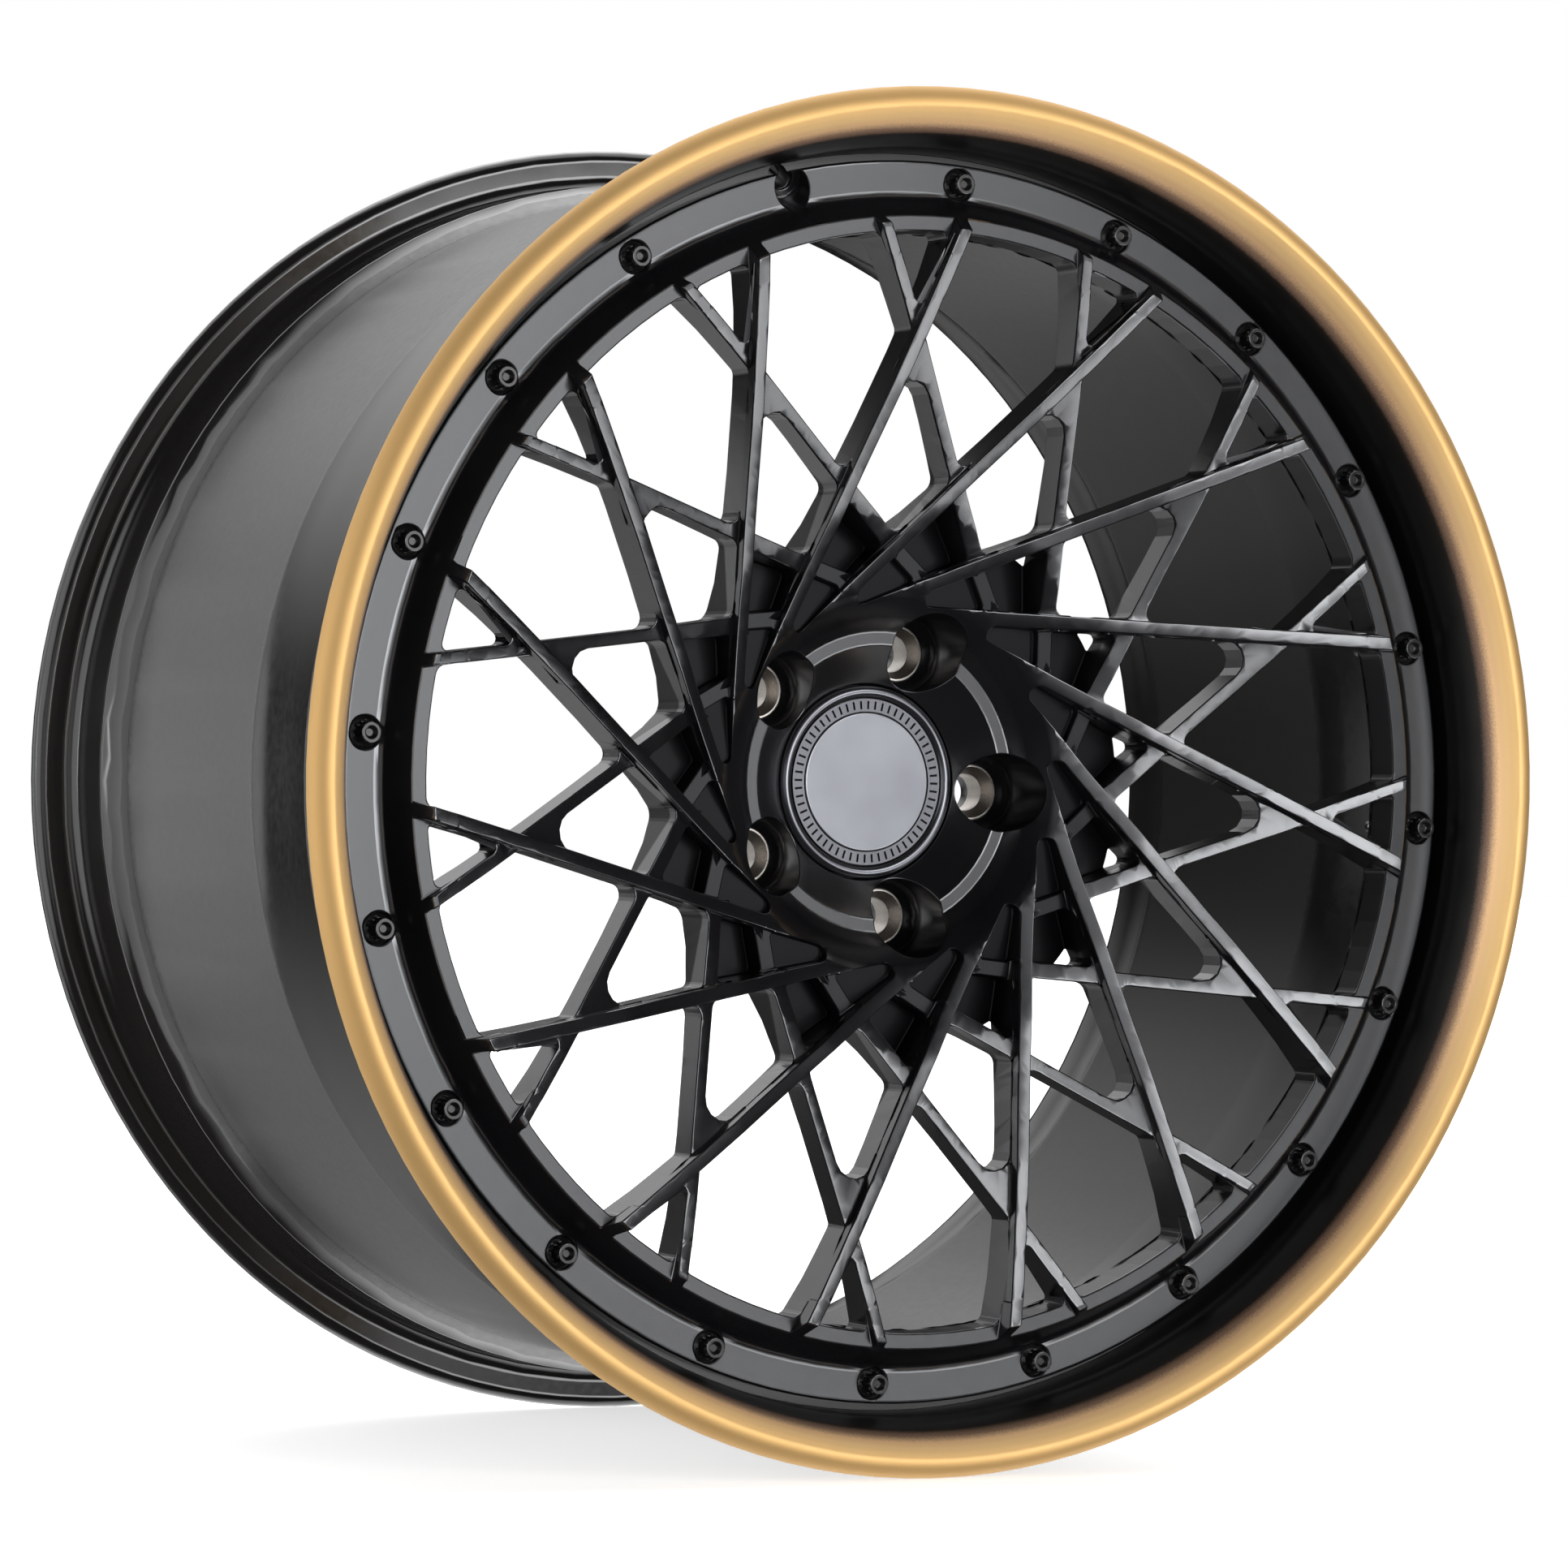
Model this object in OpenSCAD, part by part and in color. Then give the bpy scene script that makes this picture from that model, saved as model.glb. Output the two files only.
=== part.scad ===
// Forged three-piece racing wheel: bolted centre disc, outer lip, inner barrel, rim hardware and cap.
// The wheel stands upright: its axle line is Y, the street face looks along -Y and Z is up.
// Shapes are drawn about a local axis, with z growing towards the street face, then turned upright.

/* [Show] */
// Piece to draw

/* [Rim] */
// Radius over the tyre flanges, for a 20 inch rim
rim_r = 271.5; // [271:0.1:272]
// Distance between the two faces the tyre beads press against, 11 inches
rim_w = 279.4; // [278:0.2:281]
// Radius of the bead seat at the flange
seat_r = 254.3; // [253.9:0.1:254.6]
// Outside radius of the long middle of the barrel
well_r = 247; // [246.6:0.1:247.4]
// Wall of the barrel
wall = 3.6; // [3:0.1:4]

/* [Centre disc] */
// Number of main spokes
spokes = 15; // [15:1:15]
// Width of a main spoke
spoke_w = 5.6; // [5:0.1:6.4]
// Distance of a main spoke's middle line from the axle line
spoke_off = 67.8; // [67:0.1:68.5]
// Lean of the first main spoke from the X axis
spoke_a = -1.73; // [-2.2:0.01:-1.2]
// Width of a cross blade
blade_w = 5; // [4.4:0.1:5.8]
// Distance of a cross blade's middle line from the axle line
blade_off = 68.7; // [68:0.1:69.5]
// Lean of the first cross blade from the X axis
blade_a = 43.45; // [43:0.01:44]
// Width of the bar that closes a hub pocket
bar_w = 6.4; // [5.6:0.1:7.2]
// Width of the low ridge inside a hub pocket
ridge_w = 6.6; // [5.6:0.1:7]
// Outer radius of the disc
disc_r = 245.2; // [244.8:0.1:245.6]
// Radius of the windows' outer edge
window_r = 216.4; // [215.6:0.1:217]

/* [Hub] */
// Radius of the hub bore
bore_r = 33.3; // [32:0.05:34]
// Height of the mounting face above the middle plane of the rim
offset = 40; // [38:0.5:42]
// Diameter of the lug bolt circle
lug_pcd = 112; // [111:0.1:113]
// Radius of a lug hole
lug_r = 7.6; // [7.2:0.1:8]
// Radius of a lug counterbore
lug_cb_r = 15.5; // [15:0.1:15.8]
// Turn of the first lug hole from the X axis
lug_a = -3; // [-4:0.1:-2]

/* [Rim bolts] */
// Places on the rim bolt circle
bolt_places = 20; // [20:1:20]
// Radius of the rim bolt circle
bolt_circle = 237; // [236.8:0.1:237.2]
// Radius of a rim bolt's shank
bolt_r = 3.5; // [3.2:0.1:3.6]
// Radius of a rim bolt's counterbore
bolt_cb_r = 6.5; // [6.3:0.05:6.6]
// Turn of the first rim bolt from the X axis
bolt_a = 86.83; // [86:0.01:88]
// Radius of the valve hole
valve_r = 4.15; // [4:0.05:4.6]
// Lean of the valve hole away from the axle line
valve_tilt = 30; // [29:0.5:31]

/* [Cap] */
// Outer radius of the cap's bezel
cap_r = 38.8; // [38.4:0.1:39]
// Ticks round the cap
ticks = 60; // [48:1:66]

/* [Hidden] */
round_n = 96;
face = 145;
top = 170;
pitch = 360 / spokes;
half_w = rim_w / 2;
flange_face = face - 27.2;
flange_back = flange_face - 10;
ring_top = face - 14.9;
lip_t = 6;
lip_back = flange_back - lip_t;
barrel_back = lip_back - lip_t;
cb_floor = flange_face - 3;
bead_front = 7.4;
bead_back = 5.3;
crest_r = rim_r - bead_front;
apex_z = half_w + bead_back;
valve_place = 1;
valve_from = 238.3;
cap_floor = 71.5;
plate_low = cap_floor + 1;
plate_top = plate_low + 2;
insert_top = 62.5;
insert_low = 46;
insert_r = 11.2;
seat_top_r = 10.4;

// Turns a local shape upright.
module upright() {
    rotate([90, 0, 0]) children();
}

// Points of an arc in the half plane, from angle a0 to a1.
function arc(c, r, a0, a1, n) = [for (i = [0:n]) c + r * [cos(a0 + (a1 - a0) * i / n), sin(a0 + (a1 - a0) * i / n)]];

function unit(v) = v / norm(v);

// One rounded corner of a flat outline.
function corner(p, q, s, r, n) =
    let (u = unit(p - q))
    let (v = unit(s - q))
    let (half = acos(u * v) / 2)
    let (c = q + unit(u + v) * r / sin(half))
    let (b = q + u * r / tan(half) - c)
    let (e = q + v * r / tan(half) - c)
    let (a0 = atan2(b.y, b.x))
    let (turn = ((atan2(e.y, e.x) - a0 + 540) % 360) - 180)
    r > 0 ? [for (i = [0:n]) c + r * [cos(a0 + turn * i / n), sin(a0 + turn * i / n)]] : [q];

// A flat outline with a radius at each corner.
function rounded(pts, rad, n = 5) =
    let (m = len(pts))
    [for (i = [0:m - 1]) each corner(pts[(i + m - 1) % m], pts[i], pts[(i + 1) % m], rad[i], n)];

// A line is [distance from the axle line, direction of that normal].
function meet(a, b) =
    let (d = sin(b[1] - a[1]))
    [(a[0] * sin(b[1]) - b[0] * sin(a[1])) / d, (b[0] * cos(a[1]) - a[0] * cos(b[1])) / d];

// Angle and point where a line leaves a circle on its forward side.
function leave_a(l, r, side) = l[1] + side * acos(l[0] / r);
function on_ring(r, a) = r * [cos(a), sin(a)];

// Edges of spokes and blades: k counts pitches, off is the shift from the middle line.
function spoke_line(k, off) = [spoke_off + off, spoke_a + 90 + k * pitch];
function blade_line(k, off) = [blade_off + off, blade_a - 90 + k * pitch];
bar_line_a = 67.8 - 90;
bar_line_d = 94.9 * cos(bar_line_a) + 50.2 * sin(bar_line_a);
ridge_x = 68.1;
sw = spoke_w / 2;
bw = blade_w / 2;

// Edges met by the windows of the first pitch.
upper = spoke_line(0, -sw);
lower = spoke_line(-1, sw);
above = spoke_line(0, sw);
rib_in = blade_line(0, -bw);
rib_out = blade_line(0, bw);
arm_in = blade_line(-1, -bw);
bar_out = [bar_line_d + bar_w / 2, bar_line_a];
bar_in = [bar_line_d - bar_w / 2, bar_line_a];
ridge_out = [ridge_x + ridge_w / 2, 0];
ridge_in = [ridge_x - ridge_w / 2, 0];

// The main spokes' tops are a hair narrower than their walls.
step_upper = spoke_line(0, -sw + 0.12);
step_lower = spoke_line(-1, sw - 0.12);
ring_upper = spoke_line(0, -sw + 0.2);
ring_above = spoke_line(0, sw - 0.2);
ring_arm = blade_line(-1, -bw + 0.2);
ring_rib = blade_line(0, bw - 0.2);

// Angles at which edges leave the window circle.
a_upper = leave_a(upper, window_r, -1);
a_above = leave_a(above, window_r, -1);
a_arm = leave_a(arm_in, window_r, 1);
a_rib = leave_a(rib_out, window_r, 1);

big_window = rounded(concat(
    [meet(rib_out, upper), on_ring(window_r, a_upper)],
    [for (i = [1:4]) on_ring(window_r, a_upper + (a_arm - a_upper) * i / 5)],
    [on_ring(window_r, a_arm), meet(arm_in, lower), meet(lower, rib_out)]),
    [2.5, 4.5, 0, 0, 0, 0, 4.5, 4, 4]);
small_window = rounded(concat(
    [meet(rib_out, above), on_ring(window_r, a_above)],
    [for (i = [1:2]) on_ring(window_r, a_above + (a_rib - a_above) * i / 3)],
    [on_ring(window_r, a_rib)]),
    [2.6, 2.5, 0, 0, 2.5]);
mid_window = rounded(
    [meet(bar_out, upper), meet(upper, rib_in), meet(rib_in, lower), meet(lower, bar_out)],
    [4, 8, 5, 4.5]);
ridge_far = [ridge_x + ridge_w / 2 + 1, 0];
ridge_near = [ridge_x - ridge_w / 2 - 1, 0];
ridge = [meet(ridge_near, lower), meet(ridge_near, upper), meet(ridge_far, upper), meet(ridge_far, lower)];
panel = rounded([meet(ridge_out, upper), meet(upper, bar_in), meet(bar_in, lower), meet(lower, ridge_out)],
    [2.2, 2.6, 2.6, 2.2]);
channel = rounded([meet(lower, upper), meet(upper, ridge_in), meet(ridge_in, lower)], [3.3, 2, 2], 7);
ridge_z = 98.8;
panel_z = 88.5;
channel_z = 95;

// Street side of the spokes, from the hub outwards.
spoke_top = [[76, 100.2], [92.3, 106.3], [108.6, 112.4], [124.9, 116.9], [141.2, 121.7], [157.5, 126.5],
             [173.8, 130.3], [190.1, 133.9], [206.3, 137.1], [217.2, 138.7]];
// Street side of blades and bars.
blade_top = [[60, 86], [76, 95], [90, 100.8], [106.4, 107], [119, 110.5], [130.3, 113.6], [143.9, 117.4],
             [157.5, 121.2], [173.8, 125.6], [190, 129.4], [206.3, 132.4], [218, 134.4], [226, 134.6]];
// Back of the disc, from the flange inwards.
disc_back = [[222.9, flange_back], [216.4, flange_back + 6], [200, 114.6], [190, 113.6], [180, 112.3],
             [170, 110.4], [157, 106.8], [143.4, 103], [130, 98.2], [119, 93.8], [108, 88], [98, 78.5],
             [88, 64], [78, 48.5], [74, 43], [71, offset]];

module disc_blank() {
    rotate_extrude($fn = round_n)
        polygon(concat(
            [[bore_r, offset + 1], [bore_r, 58.5], [35.3, 60.5], [35.3, cap_floor], [39.4, cap_floor]],
            [[39.4, 76.6], [41.2, 77.6], [54.7, 88], [60.1, 88], [66, 93.6]],
            spoke_top,
            [[228.4, 121], [229.6, 119], [231.2, 118], [233, flange_face]],
            [[disc_r - 0.8, flange_face], [disc_r, flange_face - 0.8], [disc_r, flange_back]],
            disc_back,
            [[bore_r + 1, offset]]));
}

// Everything above the blades, between two spokes.
module lower_blades() {
    intersection() {
        linear_extrude(height = top)
            polygon([meet([ridge_x, 0], step_upper), on_ring(226, leave_a(step_upper, 226, -1)),
                     on_ring(226, leave_a(step_lower, 226, -1)), meet([ridge_x, 0], step_lower)]);
        rotate_extrude($fn = round_n)
            polygon(concat(blade_top, [[226, top], [60, top]]));
    }
}

// Lowers the ring between two edges down to its flat arcs.
module lower_ring(a, sa, b, sb) {
    ring_in = 208;
    ring_out = 226;
    translate([0, 0, ring_top])
        linear_extrude(height = 30)
            polygon([on_ring(ring_in, leave_a(a, ring_in, sa)), on_ring(ring_out, leave_a(a, ring_out, sa)),
                     on_ring(ring_out, leave_a(b, ring_out, sb)), on_ring(ring_in, leave_a(b, ring_in, sb))]);
}

module at_lugs() {
    for (i = [0:4])
        rotate([0, 0, lug_a + 72 * i])
            translate([lug_pcd / 2, 0, 0])
                children();
}

module at_bolts() {
    for (i = [0:bolt_places - 1])
        if (i != valve_place)
            rotate([0, 0, bolt_a + i * 360 / bolt_places])
                translate([bolt_circle, 0, 0])
                    children();
}

// The valve hole's own axis, leaning outwards towards the tyre side.
module at_valve() {
    rotate([0, 0, bolt_a + valve_place * 360 / bolt_places])
        translate([valve_from, 0, flange_face])
            rotate([0, -valve_tilt, 0])
                children();
}

module valve_bore() {
    at_valve()
        translate([0, 0, -40])
            cylinder(r = valve_r, h = 60, $fn = round_n);
}

module bolt_bores(r) {
    at_bolts()
        translate([0, 0, 80])
            cylinder(r = r, h = 60, $fn = round_n);
}

module centre_disc() {
    color([0.05, 0.05, 0.055])
    upright()
    difference() {
        disc_blank();
        for (k = [0:spokes - 1])
            rotate([0, 0, k * pitch])
                linear_extrude(height = top) polygon(big_window);
        for (k = [0:spokes - 1])
            rotate([0, 0, k * pitch])
                linear_extrude(height = top) polygon(small_window);
        for (k = [0:spokes - 1])
            rotate([0, 0, k * pitch])
                linear_extrude(height = top) polygon(mid_window);
        for (k = [0:spokes - 1])
            rotate([0, 0, k * pitch])
                lower_blades();
        for (k = [0:spokes - 1])
            rotate([0, 0, k * pitch])
                lower_ring(ring_upper, -1, ring_arm, 1);
        for (k = [0:spokes - 1])
            rotate([0, 0, k * pitch])
                lower_ring(ring_rib, 1, ring_above, -1);
        for (k = [0:spokes - 1])
            rotate([0, 0, k * pitch])
                translate([0, 0, ridge_z]) linear_extrude(height = 40) polygon(ridge);
        for (k = [0:spokes - 1])
            rotate([0, 0, k * pitch])
                translate([0, 0, panel_z]) linear_extrude(height = 40) polygon(panel);
        for (k = [0:spokes - 1])
            rotate([0, 0, k * pitch])
                translate([0, 0, channel_z]) linear_extrude(height = 40) polygon(channel);
        at_lugs() lug_cutter();
        back_pockets();
        bolt_bores(bolt_r + 0.2);
        at_bolts() translate([0, 0, cb_floor]) cylinder(r = bolt_cb_r, h = 20, $fn = round_n);
        at_valve() translate([0, 0, -7.5]) cylinder(r = 7.4, h = 30, $fn = round_n);
        valve_bore();
    }
}

module lug_cutter() {
    rotate_extrude($fn = round_n)
        polygon([[0, 30], [lug_r, 30], [lug_r, insert_low], [insert_r, insert_low], [insert_r, insert_top],
                 [13.4, 64], [14.9, 66.2], [lug_cb_r, 69], [lug_cb_r, 130], [0, 130]]);
}

// Lightening recesses in the back of the hub, between the lugs.
module back_pockets() {
    for (i = [0:4])
        rotate([0, 0, lug_a + 36 + 72 * i])
            translate([56, 0, 30])
                cylinder(r = 12, h = 38, $fn = round_n);
}

// Street side of the lip, from the joint outwards, then round the bead and along the tyre side.
module outer_lip() {
    color([0.72, 0.5, 0.2])
    upright()
    difference() {
        rotate_extrude($fn = round_n)
            polygon(concat(
                [[227, lip_back], [227, flange_back], [248.6, flange_back], [249, 124], [249.7, 128.4]],
                [[250.6, 131.8], [251.9, 135.2], [253.5, 138.9], [255.4, 142.6], [257.8, 146.5]],
                [[260.6, 150.2]],
                arc([crest_r, apex_z], bead_front, 100, 0, 10),
                arc([rim_r - bead_back, apex_z], bead_back, -9, -90, 8),
                arc([seat_r + 6.5, half_w - 6.5], 6.5, 90, 180, 7),
                [[252.9, half_w - 22], [254.3, half_w - 27], [254.3, half_w - 30], [252.2, 105]],
                [[250, lip_back]]));
        bolt_bores(bolt_r + 0.2);
        valve_bore();
    }
}

module inner_barrel() {
    in_r = well_r - wall;
    color([0.03, 0.03, 0.035])
    upright()
    difference() {
        rotate_extrude($fn = round_n)
            polygon(concat(
                [[227, lip_back], [227, barrel_back], [246, barrel_back], [246.6, 94], [in_r, 31]],
                [[in_r, -100], [245.6, -106], [249, -113], [249.4, -134], [251.6, -140.5]],
                [[255.4, -146.6], [259.6, -151]],
                arc([crest_r, -apex_z], bead_front, -110, 0, 11),
                arc([rim_r - bead_back, -apex_z], bead_back, 9, 90, 8),
                arc([seat_r + 6.5, 6.5 - half_w], 6.5, 270, 180, 7),
                [[252.9, 22 - half_w], [254.5, 27 - half_w], [254.3, 30.4 - half_w]],
                [[well_r, -101], [well_r, 31], [251.3, 94], [252, 98.4], [250, lip_back]]));
        bolt_bores(bolt_r + 0.2);
        valve_bore();
    }
}

// Bead of cured sealant in the groove where lip and barrel meet.
module seam_sealant() {
    color([0.12, 0.12, 0.12])
    upright()
    difference() {
        rotate_extrude($fn = round_n)
            polygon([[250, lip_back], [252, 98.4], [252.9, 99.6], [253.2, lip_back], [252.9, 104], [252.2, 105]]);
        valve_bore();
    }
}

// Twelve-point head: two hexagons turned by half a pitch.
module twelve_point(r, h) {
    cylinder(r = r, h = h, $fn = 6);
    rotate([0, 0, 30]) cylinder(r = r, h = h, $fn = 6);
}

module rim_bolts() {
    head_low = cb_floor + 1.9;
    head_h = 7.1;
    color([0.03, 0.03, 0.03])
    upright()
    at_bolts()
    difference() {
        union() {
            translate([0, 0, 83]) cylinder(r = bolt_r, h = cb_floor - 83 + 1, $fn = round_n);
            translate([0, 0, cb_floor]) cylinder(r = 5.9, h = 1, $fn = round_n);
            translate([0, 0, cb_floor + 1]) cylinder(r1 = 5.9, r2 = 4.3, h = 1, $fn = round_n);
            intersection() {
                translate([0, 0, head_low]) twelve_point(4.35, head_h);
                rotate_extrude($fn = round_n)
                    polygon([[0, 110], [4.4, 110], [4.4, head_low + head_h - 0.6], [3.8, head_low + head_h],
                             [0, head_low + head_h]]);
            }
        }
        translate([0, 0, head_low + head_h - 2.2]) cylinder(r1 = 1.5, r2 = 2.7, h = 2.4, $fn = round_n);
    }
}

module rim_washers() {
    color([0.5, 0.5, 0.5])
    upright()
    at_bolts()
    translate([0, 0, barrel_back - 1])
    difference() {
        cylinder(r = 6.3, h = 1, $fn = round_n);
        translate([0, 0, -1]) cylinder(r = bolt_r + 0.2, h = 3, $fn = round_n);
    }
}

module rim_nuts() {
    nut_top = barrel_back - 1;
    color([0.4, 0.4, 0.4])
    upright()
    at_bolts()
    difference() {
        union() {
            translate([0, 0, nut_top - 1.4]) cylinder(r = 6, h = 1.4, $fn = round_n);
            translate([0, 0, nut_top - 7.6]) twelve_point(4.9, 6.6);
        }
        translate([0, 0, nut_top - 9]) cylinder(r = bolt_r + 0.02, h = 12, $fn = round_n);
    }
}

module lug_inserts() {
    color([0.75, 0.72, 0.68])
    upright()
    at_lugs()
    rotate_extrude($fn = round_n)
        polygon([[lug_r, insert_low], [insert_r, insert_low], [insert_r, insert_top - 0.1],
                 [insert_r - 0.2, insert_top], [seat_top_r, insert_top], [lug_r, insert_top - 5.4]]);
}

module cap_body() {
    leg_out = 35.1;
    leg_in = 33.2;
    color([0.08, 0.08, 0.08])
    upright() {
        difference() {
            union() {
                translate([0, 0, plate_low]) cylinder(r = 38.3, h = plate_top - plate_low, $fn = round_n);
                translate([0, 0, 60.8]) cylinder(r = leg_out, h = plate_low - 60.8 + 0.5, $fn = round_n);
            }
            translate([0, 0, 55]) cylinder(r = leg_in, h = plate_low - 55, $fn = round_n);
            for (i = [0:3])
                rotate([0, 0, 22.5 + 45 * i])
                    translate([-50, -4, 55])
                        cube([100, 8, 15]);
        }
    }
}

module cap_bezel() {
    color([0.4, 0.4, 0.42])
    upright()
    rotate_extrude($fn = round_n)
        polygon(concat(
            [[33.6, plate_top], [cap_r - 0.4, plate_top], [cap_r, 75]],
            arc([36.2, 75.4], 2.6, 0, 180, 12),
            [[33.6, 75]]));
}

module cap_tick_ring() {
    tick_w = 0.9;
    color([0.3, 0.3, 0.32])
    upright()
    difference() {
        translate([0, 0, plate_top]) cylinder(r = 33.3, h = 2.1, $fn = round_n);
        translate([0, 0, plate_top - 1]) cylinder(r = 28.2, h = 5, $fn = round_n);
        for (i = [0:ticks - 1])
            rotate([0, 0, i * 360 / ticks])
                translate([29.1, -tick_w / 2, plate_top + 1.6])
                    cube([3.3, tick_w, 2]);
    }
}

module cap_disc() {
    color([0.4, 0.4, 0.42])
    upright()
    rotate_extrude($fn = round_n)
        polygon([[0, plate_top], [27.8, plate_top], [27.8, 76.6], [27.4, 77], [0, 77]]);
}

module cap_spring() {
    color([0.6, 0.6, 0.6])
    upright()
    translate([0, 0, 65])
    rotate_extrude(angle = 340, $fn = round_n)
        translate([32.4, 0]) circle(r = 0.8, $fn = 24);
}

module cap_gasket() {
    color([0.02, 0.02, 0.02])
    upright()
    translate([0, 0, cap_floor])
    difference() {
        cylinder(r = 38, h = 1, $fn = round_n);
        translate([0, 0, -1]) cylinder(r = 35.6, h = 3, $fn = round_n);
    }
}

centre_disc();
outer_lip();
inner_barrel();
seam_sealant();
rim_bolts();
rim_washers();
rim_nuts();
lug_inserts();
cap_body();
cap_bezel();
cap_tick_ring();
cap_disc();
cap_spring();
cap_gasket();
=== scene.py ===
"""Looks of a forged three-piece racing wheel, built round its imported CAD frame.

Lengths are metres. The axle is the Y axis and the street side faces -Y.
"""

import math

import bpy
from mathutils import Matrix, Vector

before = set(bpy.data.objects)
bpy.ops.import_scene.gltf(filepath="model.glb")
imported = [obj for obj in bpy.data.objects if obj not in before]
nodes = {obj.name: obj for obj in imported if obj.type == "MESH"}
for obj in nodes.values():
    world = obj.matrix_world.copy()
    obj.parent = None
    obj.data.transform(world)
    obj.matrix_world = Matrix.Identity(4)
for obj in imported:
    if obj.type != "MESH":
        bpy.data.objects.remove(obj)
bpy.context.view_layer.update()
scene = bpy.context.scene

RIM_R = 0.2715

# Where finishes and painted shade change. Four numbers are a band: begins, full, fades, ends.
POCKETS_R = (0.0625, 0.066, 0.128, 0.132)  # ring of pockets round the hub
POCKETS_Y = (-0.1, -0.0982)  # the pockets' floors lie behind this
RIM_WALL_R = (0.2140, 0.2152, 0.2204, 0.2224)  # side walls inside the bolted flange
RIM_WALL_Y = (-0.1294, -0.1286)  # the walls' tops are in front of this
SATIN_Y = (-0.036, -0.028, 0.096, 0.104)  # satin band along the barrel's middle
CONE_Y = (-0.0325, -0.0305)  # the barrel's cone is in front of this
SHADE_FADE_R = 0.2545  # the gold starts to show through the painted shade here
SHADE_FADE_Y = -0.1435
CREST_R = (0.2615, 0.2675)  # the lip's crest, painted darker as shade, is outside this
TICK_GROOVE_Y = -0.0764  # floor between the ticks of the cap's ring

# Depths of the finishes' bumps
PEEL = 0.0004
TURNED = 0.0001

# Edge rounding
BEVEL_STEPS = 2
SEAM = 0.00001  # points of a node closer than this are one
DISC_SEAM = 0.00022


# ---------------------------------------------------------------- node helpers
class Tree:
    """A node tree, with short calls for the nodes used here."""

    def __init__(self, tree):
        self.tree = tree
        self.tree.nodes.clear()

    def add(self, kind, **settings):
        node = self.tree.nodes.new(kind)
        for key, value in settings.items():
            setattr(node, key, value)
        return node

    def link(self, a, b):
        self.tree.links.new(a, b)

    def put(self, socket, value):
        if isinstance(value, bpy.types.NodeSocket):
            self.link(value, socket)
        else:
            socket.default_value = value

    def span(self, value, lo, hi, a, b, kind="LINEAR"):
        """Carries lo..hi over to a..b and holds both ends."""
        node = self.add("ShaderNodeMapRange", interpolation_type=kind, clamp=True)
        self.put(node.inputs["Value"], value)
        for key, number in (("From Min", lo), ("From Max", hi), ("To Min", a), ("To Max", b)):
            node.inputs[key].default_value = number
        return node.outputs["Result"]

    def smooth(self, value, lo, hi, a, b):
        return self.span(value, lo, hi, a, b, "SMOOTHSTEP")

    def band(self, value, begins, full, fades, ends):
        """1 from full to fades, 0 outside begins and ends."""
        rise = self.smooth(value, begins, full, 0, 1)
        return self.times(rise, self.smooth(value, fades, ends, 1, 0))

    def math(self, op, a, b=0.0):
        node = self.add("ShaderNodeMath", operation=op)
        self.put(node.inputs[0], a)
        self.put(node.inputs[1], b)
        return node.outputs[0]

    def plus(self, a, b):
        return self.math("ADD", a, b)

    def minus(self, a, b):
        return self.math("SUBTRACT", a, b)

    def times(self, a, b):
        return self.math("MULTIPLY", a, b)

    def dot(self, a, b):
        node = self.add("ShaderNodeVectorMath", operation="DOT_PRODUCT")
        self.put(node.inputs[0], a)
        self.put(node.inputs[1], b)
        return node.outputs["Value"]


class Graph(Tree):
    """The node tree of a new material, round one Principled shader."""

    def __init__(self, name):
        self.mat = bpy.data.materials.new(name)
        self.mat.use_nodes = True
        super().__init__(self.mat.node_tree)
        out = self.add("ShaderNodeOutputMaterial")
        self.shader = self.add("ShaderNodeBsdfPrincipled")
        self.link(self.shader.outputs[0], out.inputs["Surface"])
        self.place = self.add("ShaderNodeTexCoord").outputs["Object"]

    def noise(self, scale, detail, rough):
        node = self.add("ShaderNodeTexNoise")
        self.link(self.place, node.inputs["Vector"])
        for key, number in (("Scale", scale), ("Detail", detail), ("Roughness", rough)):
            node.inputs[key].default_value = number
        return node.outputs["Fac"]

    def mix(self, factor, a, b):
        node = self.add("ShaderNodeMix", data_type="RGBA")
        self.put(node.inputs["Factor"], factor)
        self.put(node.inputs["A"], a)
        self.put(node.inputs["B"], b)
        return node.outputs["Result"]

    def ramp(self, value, stops):
        node = self.add("ShaderNodeValToRGB")
        self.put(node.inputs["Fac"], value)
        points = node.color_ramp.elements
        while len(points) < len(stops):
            points.new(0.5)
        for point, (place, colour) in zip(points, stops):
            point.position = place
            point.color = colour
        return node.outputs["Color"]

    def bump(self, height, strength, distance):
        node = self.add("ShaderNodeBump")
        node.inputs["Strength"].default_value = strength
        node.inputs["Distance"].default_value = distance
        self.link(height, node.inputs["Height"])
        self.link(node.outputs["Normal"], self.shader.inputs["Normal"])

    def set(self, **values):
        for key, value in values.items():
            self.put(self.shader.inputs[key.replace("_", " ")], value)

    def axes(self):
        node = self.add("ShaderNodeSeparateXYZ")
        self.link(self.place, node.inputs[0])
        return node.outputs

    def outward(self):
        """1 on a surface that faces away from the axle, -1 on one that faces it."""
        x, _, z = self.axes()
        flat = self.add("ShaderNodeCombineXYZ")
        self.link(x, flat.inputs["X"])
        self.link(z, flat.inputs["Z"])
        unit = self.add("ShaderNodeVectorMath", operation="NORMALIZE")
        self.link(flat.outputs[0], unit.inputs[0])
        return self.dot(unit.outputs[0], self.add("ShaderNodeNewGeometry").outputs["Normal"])

    def radius(self):
        """Distance from the axle."""
        x, _, z = self.axes()
        return self.math("SQRT", self.plus(self.times(x, x), self.times(z, z)))


def rgb(r, g, b):
    return (r, g, b, 1.0)


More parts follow.
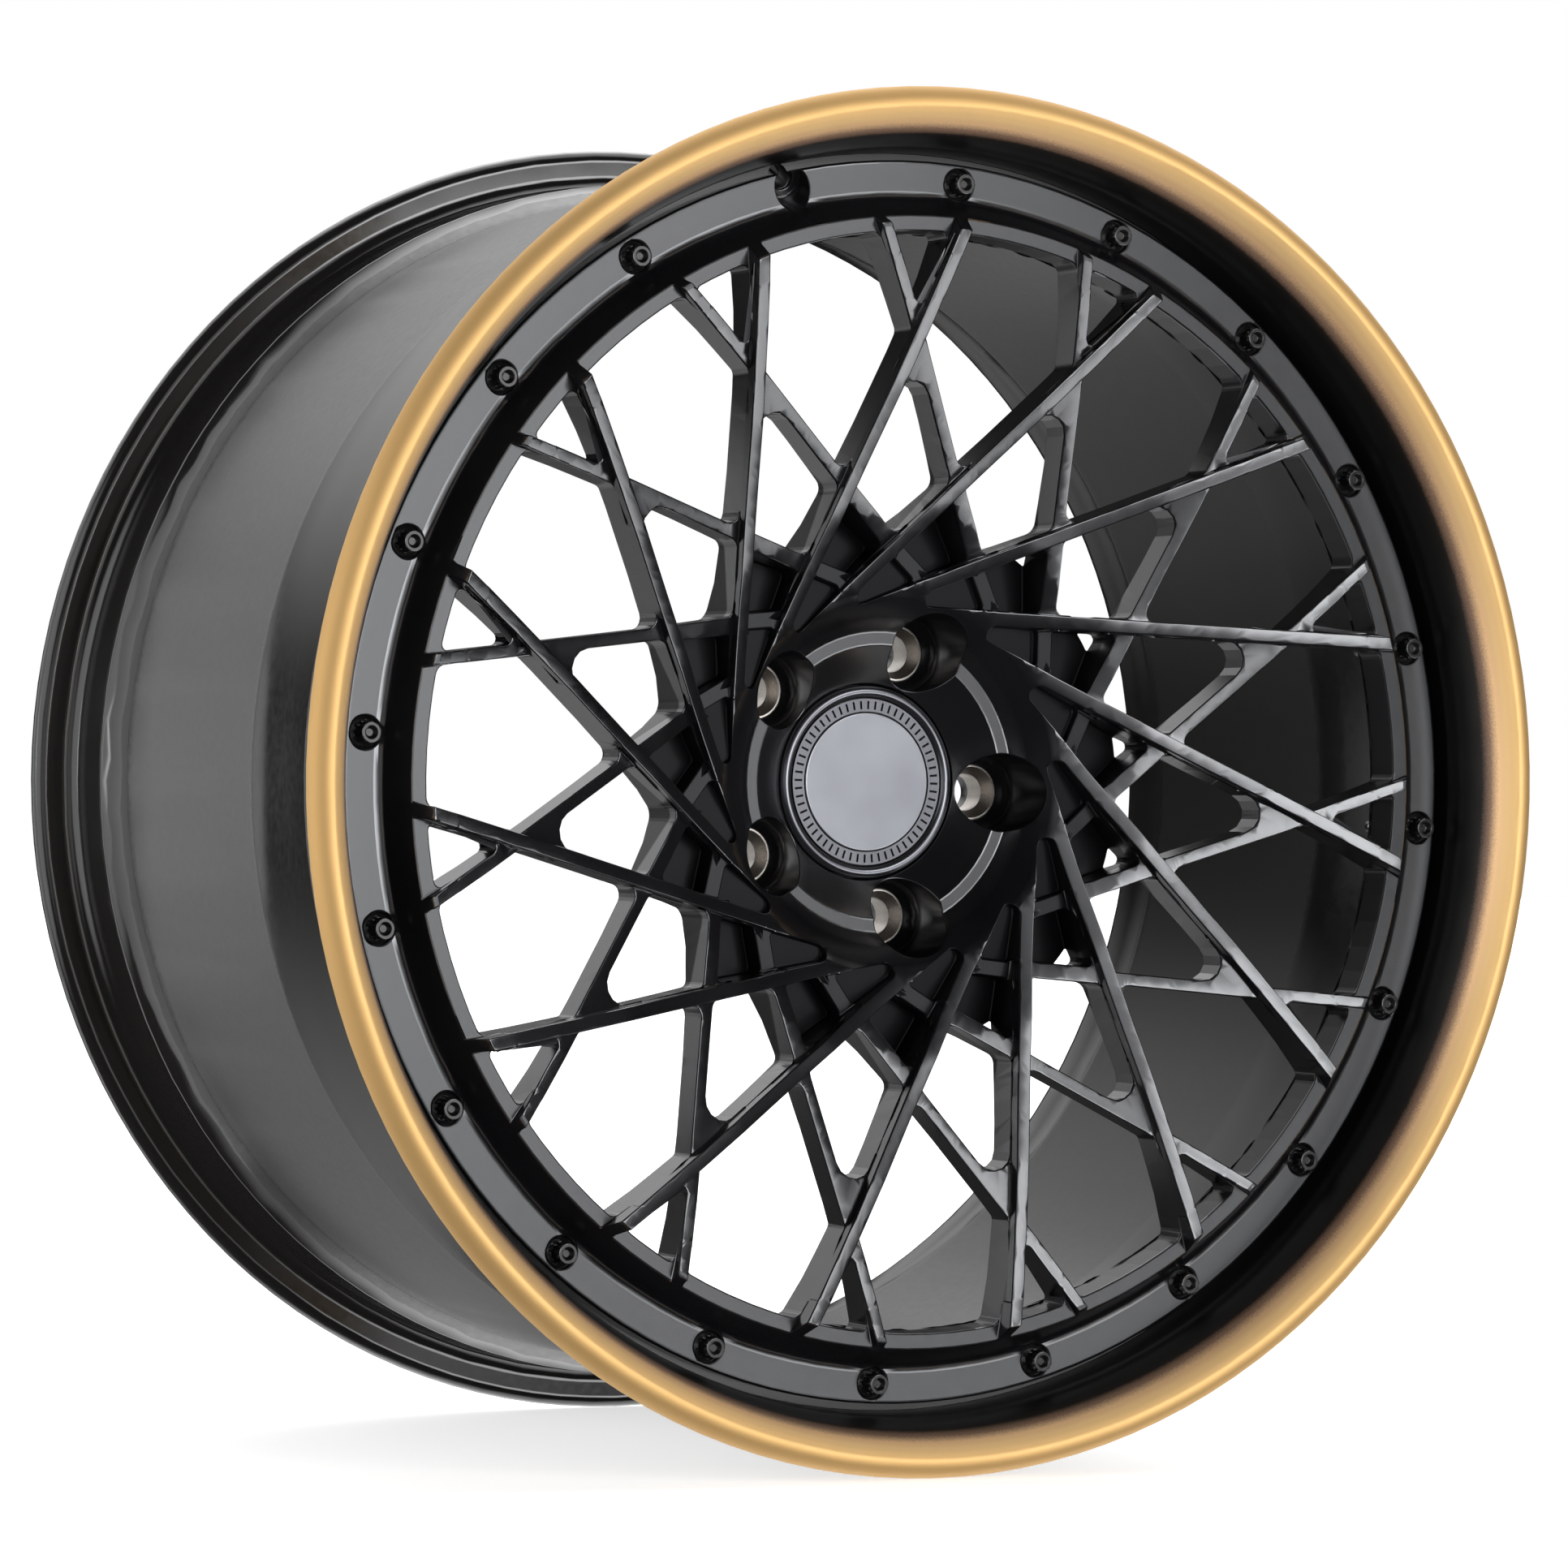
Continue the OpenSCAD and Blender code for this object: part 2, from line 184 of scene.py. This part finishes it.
# ---------------------------------------------------------------- finishes
def painted(name, base, rough, spread, peel, coat=0.0, coat_rough=0.1):
    """Sprayed paint: orange peel, clouded colour and gloss, fine dust in the finish."""
    tone = 0.25
    g = Graph(name)
    cloud = g.noise(9.0, 4.0, 0.6)
    fine = g.noise(260.0, 2.0, 0.5)
    lighter = rgb(*(min(1.0, c * (1 + tone) + 0.002) for c in base))
    darker = rgb(*(c * (1 - tone) for c in base))
    g.set(Base_Color=g.mix(g.span(cloud, 0.3, 0.7, 0, 1), darker, lighter))
    g.set(Roughness=g.plus(g.span(cloud, 0.25, 0.75, rough - spread, rough + spread),
                           g.span(fine, 0.3, 0.7, -spread, spread)))
    g.set(Coat_Weight=coat, Coat_Roughness=coat_rough)
    g.bump(g.noise(420.0, 2.0, 0.45), peel, PEEL)
    return g


def satin_black():
    """Satin black, with painted shade: its reflection is turned down on the floors of the pockets
    round the hub and on the rim's walls.
    """
    g = painted("satin_black", (0.0035, 0.0035, 0.0042), 0.22, 0.008, peel=0.012)
    _, y, _ = g.axes()
    r = g.radius()
    floors = g.smooth(y, *POCKETS_Y, 0, 1)
    ring = g.band(r, *POCKETS_R)
    walls = g.times(g.band(r, *RIM_WALL_R), g.smooth(y, *RIM_WALL_Y, 0, 1))
    # Painted shade: where this mask is 1 the reflection is turned down, darkening the pocket
    # floors and the rim's walls.
    painted_shade = g.math("MAXIMUM", g.times(floors, ring), walls)
    g.set(Specular_IOR_Level=g.span(painted_shade, 0, 1, 0.8, 0.1), Specular_Tint=rgb(0.95, 0.97, 1.0))
    return g.mat


def barrel_finish():
    """Gloss black flanges and cone, and a satin band along the middle, as sprayed; the cone's
    reflection is turned down as painted shade.
    """
    inside = 0.22  # specular level of surfaces that face the axle
    g = Graph("barrel_finish")
    _, y, _ = g.axes()
    cloud = g.noise(7.0, 4.0, 0.6)
    fine = g.noise(300.0, 2.0, 0.5)
    g.set(Base_Color=g.mix(g.span(cloud, 0.3, 0.7, 0, 1),
                           rgb(0.008, 0.0076, 0.0072), rgb(0.011, 0.0105, 0.01)))
    satin = g.band(y, *SATIN_Y)
    outer = g.span(g.outward(), -0.1, 0.1, 0, 1)
    rough = g.plus(g.times(satin, 0.18), 0.12)
    # Painted shade: the cone's reflection level is turned down to darken it.
    gloss = g.smooth(y, *CONE_Y, 0.15, 0.6)
    g.set(Specular_IOR_Level=g.plus(g.times(outer, g.minus(gloss, inside)), inside))
    g.set(Roughness=g.plus(rough, g.span(fine, 0.3, 0.7, -0.02, 0.02)))
    g.bump(g.noise(380.0, 2.0, 0.45), 0.01, PEEL)
    return g.mat


def gold_fade():
    """Gold metallic paint on the lip, with painted shade: it darkens through brown to black
    towards the joint, and its crest's outer edge is painted darker brown.
    """
    g = Graph("gold_fade")
    _, y, _ = g.axes()
    cloud = g.noise(8.0, 4.0, 0.6)
    speck = g.noise(1500.0, 2.0, 0.6)
    # how far a place is from the joint towards the crest: about 0 where the painted shade starts
    # to give way to the gold
    reach = g.plus(g.times(g.minus(g.radius(), SHADE_FADE_R), 62.0),
                   g.times(g.minus(SHADE_FADE_Y, y), 20.0))
    shade_fade = g.plus(reach, g.span(speck, 0.3, 0.7, -0.03, 0.03))
    # Painted shade: black and brown towards the joint, full gold towards the crest.
    colour = g.ramp(g.span(shade_fade, -0.3, 0.8, 0, 1), [
        (0.0, rgb(0.003, 0.003, 0.003)), (0.14, rgb(0.008, 0.006, 0.005)),
        (0.31, rgb(0.24, 0.145, 0.095)), (0.48, rgb(0.95, 0.62, 0.34)),
        (0.66, rgb(1.0, 0.7, 0.35)), (1.0, rgb(0.97, 0.64, 0.27))])
    flake = g.mix(g.span(speck, 0.35, 0.65, 0, 0.2), colour, rgb(0.95, 0.68, 0.32))
    coat = g.mix(g.span(shade_fade, 0.1, 0.5, 0, 1), colour, flake)
    # Painted shade: the crest's outer edge is made darker brown.
    crest = g.mix(g.smooth(g.radius(), *CREST_R, 0, 1), coat, rgb(0.58, 0.37, 0.15))
    g.set(Base_Color=crest, Metallic=g.smooth(shade_fade, -0.2, 0.3, 0.0, 0.8))
    g.set(Roughness=g.plus(g.smooth(shade_fade, -0.2, 0.5, 0.3, 0.64),
                           g.span(cloud, 0.3, 0.7, -0.02, 0.02)))
    g.bump(g.noise(420.0, 2.0, 0.5), 0.04, PEEL)
    return g.mat


def bare_metal():
    """Bare metal of the lug seats: fine tool marks, slightly stained."""
    g = Graph("bare_metal")
    cloud = g.noise(60.0, 4.0, 0.6)
    marks = g.noise(2600.0, 1.0, 0.4)
    stained = g.mix(g.span(cloud, 0.35, 0.7, 0, 1),
                    rgb(0.40, 0.375, 0.35), rgb(0.50, 0.46, 0.42))
    g.set(Base_Color=stained, Metallic=1.0, Roughness=g.span(marks, 0.3, 0.7, 0.26, 0.4))
    g.bump(marks, 0.08, TURNED)
    return g.mat


def bolt_black():
    return painted("bolt_black", (0.006, 0.006, 0.006), 0.16, 0.02,
                   peel=0.05, coat=0.2, coat_rough=0.05).mat


def zinc():
    g = Graph("zinc")
    cloud = g.noise(180.0, 4.0, 0.65)
    g.set(Base_Color=g.mix(cloud, rgb(0.42, 0.42, 0.44), rgb(0.62, 0.62, 0.63)), Metallic=1.0,
          Roughness=g.span(cloud, 0.3, 0.7, 0.3, 0.48))
    g.bump(g.noise(1400.0, 2.0, 0.5), 0.1, TURNED)
    return g.mat


def cap_metal(name, tone, groove=None):
    """Bead-blasted grey metal; behind groove, a place along Y, it is left black."""
    edge = 0.00005
    g = Graph(name)
    cloud = g.noise(40.0, 4.0, 0.6)
    grey = g.mix(cloud, rgb(0.92 * tone, 0.94 * tone, 1.04 * tone),
                 rgb(tone, 1.02 * tone, 1.12 * tone))
    if groove:
        sunk = g.span(g.axes()[1], groove - edge, groove + edge, 0, 1)
        grey = g.mix(sunk, grey, rgb(0.004, 0.004, 0.0045))
    g.set(Base_Color=grey, Metallic=0.9, Roughness=g.span(cloud, 0.3, 0.7, 0.2, 0.26))
    g.bump(g.noise(600.0, 2.0, 0.5), 0.006, TURNED)
    return g.mat


def dull(name, shade, rough, scale, depth):
    """Grained rubber or plastic of one dark grey."""
    g = Graph(name)
    grain = g.noise(scale, 3.0, 0.6)
    g.set(Base_Color=g.mix(grain, rgb(*[shade * 0.8] * 3), rgb(*[shade * 1.2] * 3)),
          Roughness=g.span(grain, 0.3, 0.7, rough - 0.08, rough + 0.08))
    g.bump(grain, 0.3, depth)
    return g.mat


# ---------------------------------------------------------------- CAD nodes: finish and edges
def dress(name, material):
    obj = nodes[name]
    obj.data.materials.clear()
    obj.data.materials.append(material)


def ease(name, width, join=SEAM, angle=28.0, keep=True):
    """Rounds a node's edges sharper than angle by width, after joining points closer than join."""
    obj = nodes[name]
    weld = obj.modifiers.new("weld", "WELD")
    weld.merge_threshold = join
    bevel = obj.modifiers.new("bevel", "BEVEL")
    bevel.width = width
    bevel.segments = BEVEL_STEPS
    bevel.limit_method = "ANGLE"
    bevel.angle_limit = math.radians(angle)
    bevel.use_clamp_overlap = False
    bevel.harden_normals = False
    bevel.miter_outer = "MITER_ARC"
    even = obj.modifiers.new("even", "WEIGHTED_NORMAL")
    even.mode = "FACE_AREA"
    even.weight = 100
    even.keep_sharp = keep


dress("centre_disc", satin_black())
dress("outer_lip", gold_fade())
dress("inner_barrel", barrel_finish())
dress("seam_sealant", dull("sealant", 0.02, 0.6, 300.0, 0.0003))
dress("rim_bolts", bolt_black())
ZINC = zinc()
for part in ("rim_washers", "rim_nuts", "cap_spring"):
    dress(part, ZINC)
dress("lug_inserts", bare_metal())
dress("cap_body", dull("moulded_black", 0.02, 0.5, 700.0, 0.0002))
dress("cap_bezel", cap_metal("cap_bezel_metal", 0.1))
dress("cap_tick_ring", cap_metal("cap_ring_metal", 0.12, groove=TICK_GROOVE_Y))
dress("cap_disc", cap_metal("cap_disc_metal", 0.2))
dress("cap_gasket", dull("foam", 0.015, 0.85, 900.0, 0.0004))

ease("centre_disc", 0.0006, join=DISC_SEAM)
for part in ("outer_lip", "inner_barrel"):
    ease(part, 0.0002, angle=50.0, keep=False)
ease("rim_bolts", 0.00012, angle=40.0)
for part in ("cap_bezel", "cap_disc"):
    ease(part, 0.0002)

# ---------------------------------------------------------------- camera
# The wheel seen from the left of its street side, level with the axle.
CAM_AT = Vector((-1.14150, -2.20086, -0.017476))
CAM_RIGHT = Vector((0.88694, -0.46127, 0.02375))
CAM_UP = Vector((-0.02410, 0.00514, 0.99970))
CAM_BACK = Vector((-0.46125, -0.88725, -0.00656))
LENS_MM = 138.22
SENSOR_MM = 36.0
CLIP = (0.05, 60.0)

cam_data = bpy.data.cameras.new("camera")
cam_data.lens = LENS_MM
cam_data.sensor_width = SENSOR_MM
cam_data.clip_start, cam_data.clip_end = CLIP
cam = bpy.data.objects.new("camera", cam_data)
scene.collection.objects.link(cam)
turn = Matrix((CAM_RIGHT, CAM_UP, CAM_BACK)).transposed().to_4x4()
cam.matrix_world = Matrix.Translation(CAM_AT) @ turn
scene.camera = cam

# ---------------------------------------------------------------- floor, board and light
FLOOR_SIZE = 40.0
FLOOR_GAP = 0.0005
BOARD_SIZE = 2.4
BOARD_AT = (-1.74, 0.92, 0.2)
MATT = 0.9

# Soft boxes and pale boards round the wheel, as lobes of light. Angles are degrees:
# azimuth, elevation, full within, gone beyond, then the brightness.
BOXES = [
    (8, 2, 6, 13, 12.0),
    (19, 3, 4, 14, 2.6),
    (4, 6, 14, 30, 1.8),
    (24, 18, 4, 11, 11.0),
    (39, -14, 5, 13, 7.0),
    (25, -18, 4, 10, 8.0),
    (-36, 0, 6, 18, 1.0),
    (-85, 5, 22, 38, 2.5),
    (-108, 2, 3, 9, 6.0),
    (-128, 4, 4, 10, 5.0),
    (-178, 42, 16, 40, 1.5),
    (-170, -42, 14, 38, 0.7),
    (125, -55, 20, 45, 2.5),
    (125, 55, 20, 45, 2.8),
]
ROOM = 0.02  # brightness between the boxes


def stage_material(name, shade, glow):
    g = Graph(name)
    grain = g.noise(3.0, 2.0, 0.5)
    g.set(Base_Color=g.mix(grain, rgb(*[shade] * 3), rgb(*[shade * 1.01] * 3)), Roughness=MATT,
          Emission_Color=rgb(1, 1, 1), Emission_Strength=glow)
    return g.mat


def plane(name, size, location, material):
    half = size / 2
    corners = [(-half, -half, 0), (half, -half, 0), (half, half, 0), (-half, half, 0)]
    mesh = bpy.data.meshes.new(name)
    mesh.from_pydata(corners, [], [(0, 1, 2, 3)])
    obj = bpy.data.objects.new(name, mesh)
    scene.collection.objects.link(obj)
    obj.location = location
    obj.data.materials.append(material)
    return obj


def heading(azimuth, elevation):
    """Unit vector towards a place round the wheel: azimuth 0 is the street side, 90 the right."""
    a, e = math.radians(azimuth), math.radians(elevation)
    return Vector((math.sin(a) * math.cos(e), -math.cos(a) * math.cos(e), math.sin(e)))


def studio_world():
    """The boxes light the wheel, and the camera itself sees plain white."""
    world = bpy.data.worlds.new("studio")
    scene.world = world
    world.use_nodes = True
    g = Tree(world.node_tree)
    place = g.add("ShaderNodeTexCoord").outputs["Generated"]
    lobes = []
    for azimuth, elevation, full, gone, power in BOXES:
        near = g.dot(place, heading(azimuth, elevation))
        edges = math.cos(math.radians(gone)), math.cos(math.radians(full))
        lobes.append(g.smooth(near, *edges, 0.0, power))
    total = lobes[0]
    for light in lobes[1:] + [ROOM]:
        total = g.plus(total, light)
    boxes = g.add("ShaderNodeBackground")
    g.link(total, boxes.inputs["Strength"])
    paper = g.add("ShaderNodeBackground")
    paper.inputs["Strength"].default_value = 1.0
    paper.inputs["Color"].default_value = rgb(1, 1, 1)
    mix = g.add("ShaderNodeMixShader")
    g.link(g.add("ShaderNodeLightPath").outputs["Is Camera Ray"], mix.inputs[0])
    g.link(boxes.outputs[0], mix.inputs[1])
    g.link(paper.outputs[0], mix.inputs[2])
    g.link(mix.outputs[0], g.add("ShaderNodeOutputWorld").inputs[0])


studio_world()

floor_white = stage_material("floor_white", 0.85, 0.66)
floor = plane("floor", FLOOR_SIZE, (0, 0, -RIM_R - FLOOR_GAP), floor_white)
floor.visible_glossy = False

# An upright pale board behind the wheel and left of it, lighting the barrel and the windows'
# walls. The camera doesn't see it.
board = plane("board", BOARD_SIZE, BOARD_AT, stage_material("board_white", 0.5, 0.62))
board.rotation_euler = (math.radians(90), 0, 0)
board.visible_camera = False
board.visible_shadow = False

scene.view_settings.view_transform = "Standard"
scene.view_settings.look = "None"
